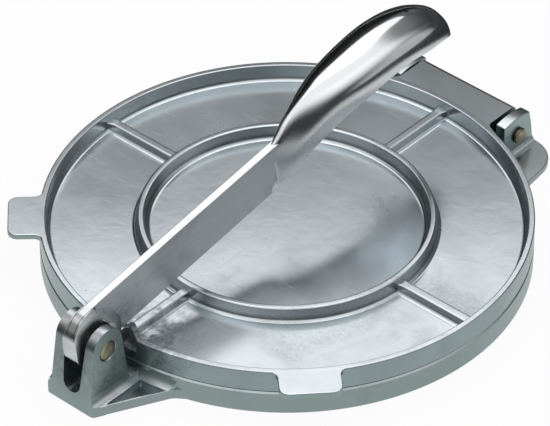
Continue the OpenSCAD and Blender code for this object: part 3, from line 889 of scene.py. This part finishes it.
def cast_metal(name, face, wall, outer_wall_shade, face_rough, wall_rough, rings, shade_and_grime_spots):
    """Cast aluminium: bright faces, inner walls painted greyer and outer walls painted dark greenish, as
    shade, and marks of use. Rings are (radius, width) of thin dark lines of painted crease shade with some
    dust. Spots are (middle, full out to, gone by), painted shade with some grease round the moving parts."""
    finish, bsdf, add, join = material(name, 1.0, face_rough)
    where = add("ShaderNodeTexCoord")
    here = where.outputs["Object"]
    side, spots = placed(add, walls), marked(add, join, blotches, here, Scale=150)
    big = marked(add, join, blotches, here, Scale=28)
    join(where.outputs["Normal"], side.inputs["Normal"])
    join(here, side.inputs["Vector"])
    side.inputs["Flat"].default_value, side.inputs["Steep"].default_value = 0.84, 0.35
    # Walls are painted greyer inside and dark greenish outside, by their slope: painted shade.
    shade = mix(add, join, side.outputs["Wall"], face, wall)
    shade = mix(add, join, side.outputs["Outside"], shade, outer_wall_shade)
    shade = mix(add, join, ranged(add, join, big, 0.0, 0.16), shade, (0.32, 0.34, 0.36, 1))
    shade = mix(add, join, ranged(add, join, spots, 0.0, 0.06), shade, (0.2, 0.21, 0.22, 1))
    stain = marked(add, join, stains, here, Scale=34, Start=0.54, End=0.8)
    shade = mix(add, join, ranged(add, join, stain, 0.0, 0.42), shade, (0.2, 0.22, 0.24, 1))
    # Thin dark rings at the feet of walls: painted crease shade with some dust.
    ring = 0.0
    for radius, width in rings:
        line = marked(add, join, crease_shade_and_dust_ring, here, Radius=radius, Width=width)
        ring = maths(add, join, "MAXIMUM", ring, line)
    shade = mix(add, join, ranged(add, join, ring, 0.0, 0.48), shade, (0.05, 0.06, 0.065, 1))
    # Spots round the lever's toe and pivot darken towards black: painted shade with some grease.
    spot_shade_and_grime = 0.0
    for spot, near, far in shade_and_grime_spots:
        place = marked(add, join, spot_mask, here, Spot=spot, Near=near, Far=far)
        spot_shade_and_grime = maths(add, join, "MAXIMUM", spot_shade_and_grime, place)
    patchy = marked(add, join, stains, here, Scale=190, Start=0.36, End=0.58)
    spot_shade_and_grime = maths(add, join, "MULTIPLY", spot_shade_and_grime, patchy)
    shade = mix(add, join, ranged(add, join, spot_shade_and_grime, 0.0, 0.75), shade, (0.06, 0.065, 0.07, 1))
    hole, hair = marked(add, join, holes, here), marked(add, join, scratches, here)
    # Sand holes are painted dark, as the shade inside each pit.
    shade = mix(add, join, ranged(add, join, hole, 0.0, 0.6), shade, (0.08, 0.085, 0.09, 1))
    join(shade, bsdf.inputs["Base Color"])
    rough = maths(add, join, "ADD", ranged(add, join, big, face_rough - 0.03, face_rough + 0.06),
        ranged(add, join, side.outputs["Outside"], 0.0, wall_rough))
    rough = maths(add, join, "ADD", rough, maths(add, join, "MULTIPLY", stain, 0.12))
    rough = maths(add, join, "ADD", rough, maths(add, join, "MULTIPLY", spot_shade_and_grime, 0.3))
    join(maths(add, join, "ADD", rough, maths(add, join, "MULTIPLY", hair, 0.08)), bsdf.inputs["Roughness"])
    height = maths(add, join, "ADD", maths(add, join, "MULTIPLY", big, 1.2), spots)
    height = maths(add, join, "SUBTRACT", height, maths(add, join, "MULTIPLY", hair, 0.22))
    height = maths(add, join, "SUBTRACT", height, maths(add, join, "MULTIPLY", hole, 2.5))
    bump = add("ShaderNodeBump")
    join(height, bump.inputs["Height"])
    bump.inputs["Strength"].default_value, bump.inputs["Distance"].default_value = 0.3, BUMP_DEPTH
    join(bump.outputs["Normal"], bsdf.inputs["Normal"])
    return finish


# The wall colours below are painted shade, greyer inside and dark greenish outside.
plate_metal = cast_metal("cast_aluminium_plate", face=(0.72, 0.78, 0.82, 1), wall=(0.6, 0.66, 0.68, 1),
    outer_wall_shade=(0.25, 0.325, 0.325, 1), face_rough=0.18, wall_rough=0.14,
    rings=[(0.0743, 0.0003), (0.0470, 0.0002), (0.0438, 0.0002)],
    shade_and_grime_spots=[((0.004, -0.074, 0.012), 0.003, 0.03)])
base_metal = cast_metal("cast_aluminium_base", face=(0.62, 0.67, 0.69, 1), wall=(0.5, 0.55, 0.56, 1),
    outer_wall_shade=(0.245, 0.315, 0.31, 1), face_rough=0.22, wall_rough=0.12,
    rings=[(0.0743, 0.0004)], shade_and_grime_spots=[((0, -0.0865, 0.012), 0.004, 0.016)])
print("cast finishes:", plate_metal.name, base_metal.name)

# %% [markdown]
# ## The lever's two finishes
# The blade's sides are satin with grain along the blade, and the grip is buffed. The change lies at
# the grip's neck, so it is a mask on the distance along the lever.

# %% The lever's metal
NECK = (-0.010, 0.004)  # the satin blade turns into the buffed grip between these places along Y
# A thin line on the blade's rounded top edges is painted dark, as shade.
EDGE_SHADE_STRIP = (0.00113, 0.00145)  # the dark line along the blade's upper edges, from the middle plane
HUB_FOOT, CREST_DIMPLE = (0.004, -0.078, 0.017), (0.0002, 0.0555, 0.0624)
# the painted shade inside the small pores of the lever
PORE_SHADE = (0.08, 0.08, 0.085, 1)


def lever_metal(name):
    """A satin blade with grain along it, a buffed grip with duller flanks, and marks of use. Steep faces
    of both are painted darker, as shade.
    """
    finish, bsdf, add, join = material(name, 1.0, 0.2)
    where, along, up = add("ShaderNodeTexCoord"), add("ShaderNodeSeparateXYZ"), add("ShaderNodeSeparateXYZ")
    here, side = where.outputs["Object"], placed(add, walls)
    spots = marked(add, join, blotches, here, Scale=90)
    fine = marked(add, join, grain, here, Stretch=(900, 60, 900))
    join(here, along.inputs[0])
    join(where.outputs["Normal"], up.inputs[0])
    join(where.outputs["Normal"], side.inputs["Normal"])
    side.inputs["Flat"].default_value, side.inputs["Steep"].default_value = 0.42, 0.2
    flank = side.outputs["Wall"]
    buffed = fade(add, join, along.outputs["Y"], *NECK, soft=True)
    # Steep sides of the blade are painted darker than its top, as shade.
    satin = mix(add, join, flank, (0.86, 0.88, 0.88, 1), (0.6, 0.63, 0.64, 1))
    satin = mix(add, join, ranged(add, join, fine, 0.0, 0.25), satin, (0.25, 0.26, 0.26, 1))
    outward = maths(add, join, "ABSOLUTE", along.outputs["X"])
    # The painted shade line along the blade's rounded top edges.
    edge = maths(add, join, "MULTIPLY", maths(add, join, "GREATER_THAN", outward, EDGE_SHADE_STRIP[0]),
        maths(add, join, "LESS_THAN", outward, EDGE_SHADE_STRIP[1]))
    edge = maths(add, join, "MULTIPLY", edge, maths(add, join, "GREATER_THAN", up.outputs["Z"], 0.35))
    satin = mix(add, join, ranged(add, join, edge, 0.0, 0.7), satin, (0.08, 0.085, 0.09, 1))
    stain = marked(add, join, stains, here, Scale=70, Start=0.5, End=0.72)
    # Round the hub's foot, between the hub and the ears, the colour darkens: painted shade with some grease.
    # Stains add to it.
    hub_shade_and_grime = maths(add, join, "MULTIPLY",
        marked(add, join, spot_mask, here, Spot=HUB_FOOT, Near=0.003, Far=0.018),
        marked(add, join, stains, here, Scale=160, Start=0.36, End=0.6))
    stain_and_hub_shade = maths(add, join, "MAXIMUM", ranged(add, join, stain, 0.0, 0.3),
        ranged(add, join, hub_shade_and_grime, 0.0, 0.6))
    satin = mix(add, join, stain_and_hub_shade, satin, (0.12, 0.125, 0.13, 1))
    # Pores are painted dark, as the shade inside each pit.
    pores = marked(add, join, holes, here, Scale=520)
    satin = mix(add, join, ranged(add, join, pores, 0.0, 0.7), satin, PORE_SHADE)
    # The grip's flanks are painted darker too, as shade.
    mirror = mix(add, join, flank, (0.84, 0.86, 0.88, 1), (0.58, 0.61, 0.62, 1))
    # A small dimple on the crest is dented by the bump and painted dark, as its shade.
    sunk = marked(add, join, spot_mask, here, Spot=CREST_DIMPLE, Near=0.0003, Far=0.0013)
    mirror = mix(add, join, ranged(add, join, sunk, 0.0, 0.8), mirror, (0.1, 0.11, 0.12, 1))
    join(mix(add, join, buffed, satin, mirror), bsdf.inputs["Base Color"])
    polish = maths(add, join, "ADD", ranged(add, join, spots, 0.1, 0.16), ranged(add, join, flank, 0.0, 0.14))
    rough = add("ShaderNodeMix")
    join(buffed, rough.inputs[0])
    join(ranged(add, join, flank, 0.22, 0.36), rough.inputs[2])
    join(polish, rough.inputs[3])
    join(rough.outputs[0], bsdf.inputs["Roughness"])
    brushed = maths(add, join, "MULTIPLY", fine, maths(add, join, "SUBTRACT", 1.0, buffed))
    hair = marked(add, join, scratches, here, Amount=0.3)
    height = maths(add, join, "SUBTRACT", maths(add, join, "SUBTRACT", brushed, hair),
        maths(add, join, "MULTIPLY", sunk, 6.0))
    bump = add("ShaderNodeBump")
    join(height, bump.inputs["Height"])
    bump.inputs["Strength"].default_value, bump.inputs["Distance"].default_value = 0.12, BUMP_DEPTH
    join(bump.outputs["Normal"], bsdf.inputs["Normal"])
    return finish


lever_finish = lever_metal("aluminium_lever")
print("lever finish:", lever_finish.name)

# %% [markdown]
# The pins are dull plated steel, darker and yellower than the castings. Blotches vary the colour and
# the roughness together.

# %% The pins' metal
def pin_metal(name):
    """Dull plated steel rod."""
    finish, bsdf, add, join = material(name, 1.0, 0.35)
    spots = marked(add, join, blotches, add("ShaderNodeTexCoord").outputs["Object"], Scale=420)
    join(mix(add, join, spots, (0.3, 0.29, 0.21, 1), (0.17, 0.165, 0.12, 1)), bsdf.inputs["Base Color"])
    join(ranged(add, join, spots, 0.3, 0.45), bsdf.inputs["Roughness"])
    return finish


pin_finish = pin_metal("dull_plated_rod")
print("pin finish:", pin_finish.name)

# %% [markdown]
# ## Riding on the bodies
# Each new piece moves with its body and stands for its node of the exact model.

# %% Dressing the frame
DRESS = [(top, "top", "top_plate", "top_plate", plate_metal),
    (base, "base", "base_plate", "base_plate", base_metal), (lever, "lever", "lever", "lever", lever_finish),
    (lever_rod, "base", "lever_pin", "pins", pin_finish),
    (hinge_rod, "base", "hinge_pin", "pins", pin_finish)]
for piece, body, node, slot, finish in DRESS:
    piece.data.materials.clear()
    piece.data.materials.append(finish)
    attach(piece, body)
    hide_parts(node)
    print(piece.name, "rides on", body)

# %% [markdown]
# ## Floor and light
# The press stands on a white table. Bare metal shows what is round it, so the room matters as much
# as the lamps. The camera sees the table as plain white, and other light falls on it as on paper.

# %% The floor
def white_floor(name, glow_share=0.94):
    """White paper that mostly glows where the camera or a reflection sees it."""
    finish, bsdf, add, join = material(name, 0.0, 0.7)
    bsdf.inputs["Base Color"].default_value = (0.85, 0.85, 0.85, 1)
    path, glow, blend_in = add("ShaderNodeLightPath"), add("ShaderNodeEmission"), add("ShaderNodeMixShader")
    seen = maths(add, join, "MAXIMUM", path.outputs["Is Camera Ray"], path.outputs["Is Glossy Ray"])
    seen = maths(add, join, "MAXIMUM", seen, path.outputs["Is Transmission Ray"])
    join(maths(add, join, "MULTIPLY", seen, glow_share), blend_in.inputs[0])
    join(bsdf.outputs[0], blend_in.inputs[1])
    join(glow.outputs[0], blend_in.inputs[2])
    join(blend_in.outputs[0], finish.node_tree.nodes["Material Output"].inputs["Surface"])
    return finish


alone()
bpy.ops.mesh.primitive_plane_add(size=3)
table = bpy.context.object
table.name = "table"
table.location.z = -0.0002
table.data.materials.append(white_floor("white_table"))
print("table added")

# %% [markdown]
# A black card with a round hole lies round the press, where only reflections find it. Studios use
# such cards to draw the outline of polished metal against a white table.

# %% The black card
def black_paper(name):
    """Black paper, a little uneven."""
    finish, bsdf, add, join = material(name, 0.0, 0.9)
    fibre = marked(add, join, blotches, add("ShaderNodeTexCoord").outputs["Object"])
    join(mix(add, join, fibre, (0.012, 0.014, 0.016, 1), (0.02, 0.022, 0.025, 1)), bsdf.inputs["Base Color"])
    return finish


CARD_MIDDLE, CARD_HOLE, CARD_WIDER = (0.05, -0.01, 0.001), 0.155, 9.5
alone()
bpy.ops.mesh.primitive_circle_add(vertices=64, radius=CARD_HOLE, location=CARD_MIDDLE)
bpy.ops.object.mode_set(mode="EDIT")
bpy.ops.mesh.extrude_region_move()
bpy.ops.transform.resize(value=(CARD_WIDER, CARD_WIDER, 1), center_override=CARD_MIDDLE)
bpy.ops.object.mode_set(mode="OBJECT")
card = bpy.context.object
card.name = "black_card"
card.data.materials.append(black_paper("black_paper"))
card.visible_camera = card.visible_diffuse = card.visible_shadow = card.visible_transmission = False
print("black card added")

# %% [markdown]
# The room is a sky that grows brighter upwards. Soft patches in it stand for what a studio has round a
# subject: pale cards lighten it and open doorways darken it. Each patch fades in round one direction,
# so it shows as a soft shape in the polished grip and as a slow change across the plates. The camera
# itself sees plain white.

# %% The room
world = bpy.data.worlds.new("studio")
scene.world = world
world.use_nodes = True
add, join = world.node_tree.nodes.new, world.node_tree.links.new
sky = world.node_tree.nodes["Background"]
where, part, path = add("ShaderNodeTexCoord"), add("ShaderNodeSeparateXYZ"), add("ShaderNodeLightPath")
join(where.outputs["Generated"], part.inputs[0])


def lobe(direction, start, end, strength):
    """Light from round one direction, from nothing at the start cosine to full at the end cosine."""
    dot = add("ShaderNodeVectorMath")
    dot.operation = "DOT_PRODUCT"
    join(where.outputs["Generated"], dot.inputs[0])
    dot.inputs[1].default_value = Vector(direction).normalized()
    return fade(add, join, dot.outputs["Value"], start, end, high=strength, soft=True)


BACK_LEFT = (-0.52, 0.58, 0.63)
PATCHES = [  # lighter or darker, direction, cosines at which it starts and is full, strength
    ("lighter", (0.14, -0.9, 0.4), 0.7, 0.95, 0.25),
    ("darker", (0.0, 0.8, 0.6), 0.85, 0.97, 0.75),
    ("darker", (-0.85, 0.5, 0.2), 0.8, 0.95, 0.85),
    ("darker", (-0.78, 0.0, 0.62), 0.9, 0.98, 0.85),
    ("lighter", (0.75, 0.65, 0.0), 0.88, 0.97, 0.4),
    ("lighter", (0.71, 0.24, 0.66), 0.88, 0.98, 0.2),
    ("darker", BACK_LEFT, 0.88, 0.985, 0.5),
]
total = fade(add, join, part.outputs["Z"], 0.15, 0.95, high=0.95, soft=True)
total = maths(add, join, "ADD", total, 0.05)
for change, *patch in PATCHES:
    if change == "lighter":
        total = maths(add, join, "ADD", total, lobe(*patch))
    else:
        total = maths(add, join, "MULTIPLY", total, maths(add, join, "SUBTRACT", 1.0, lobe(*patch)))
seen = path.outputs["Is Camera Ray"]
unseen = maths(add, join, "SUBTRACT", 1.0, seen)
join(maths(add, join, "ADD", maths(add, join, "MULTIPLY", total, unseen), seen), sky.inputs["Strength"])
sky.inputs["Color"].default_value = (1, 1, 1, 1)
print("room ready with", len(PATCHES), "patches")

# %% [markdown]
# Two square lamps stand for a window behind the press, to the left, and for a ceiling light. The
# window shows in the metal's reflections, and the ceiling light is hidden from them.

# %% The lamps
def soft_lamp(name, spot, size, power, aim=(0, 0, 0.02)):
    """A square area lamp that points at the press."""
    bpy.ops.object.light_add(type="AREA", location=spot)
    lamp = bpy.context.object
    lamp.name = name
    lamp.data.size, lamp.data.energy = size, power
    lamp.rotation_mode = "QUATERNION"
    lamp.rotation_quaternion = (Vector(aim) - Vector(spot)).to_track_quat("-Z", "Y")
    return lamp


def radiance(brightness, size):
    """The power that makes a square lamp of this size look this bright."""
    return brightness * math.pi * size**2


LAMP_SIZE, WINDOW_LIGHT, CEILING_LIGHT = 0.5, 1.0, 1.5
back = Vector(BACK_LEFT).normalized()
raised = Vector((0.417, -0.468, 0.779)) * 0.265
soft_lamp("window_card", back * 0.6 + raised, LAMP_SIZE, radiance(WINDOW_LIGHT, LAMP_SIZE), raised)
ceiling = soft_lamp("ceiling_lamp", (0.05, -0.05, 1.0), LAMP_SIZE, radiance(CEILING_LIGHT, LAMP_SIZE))
ceiling.visible_glossy = False
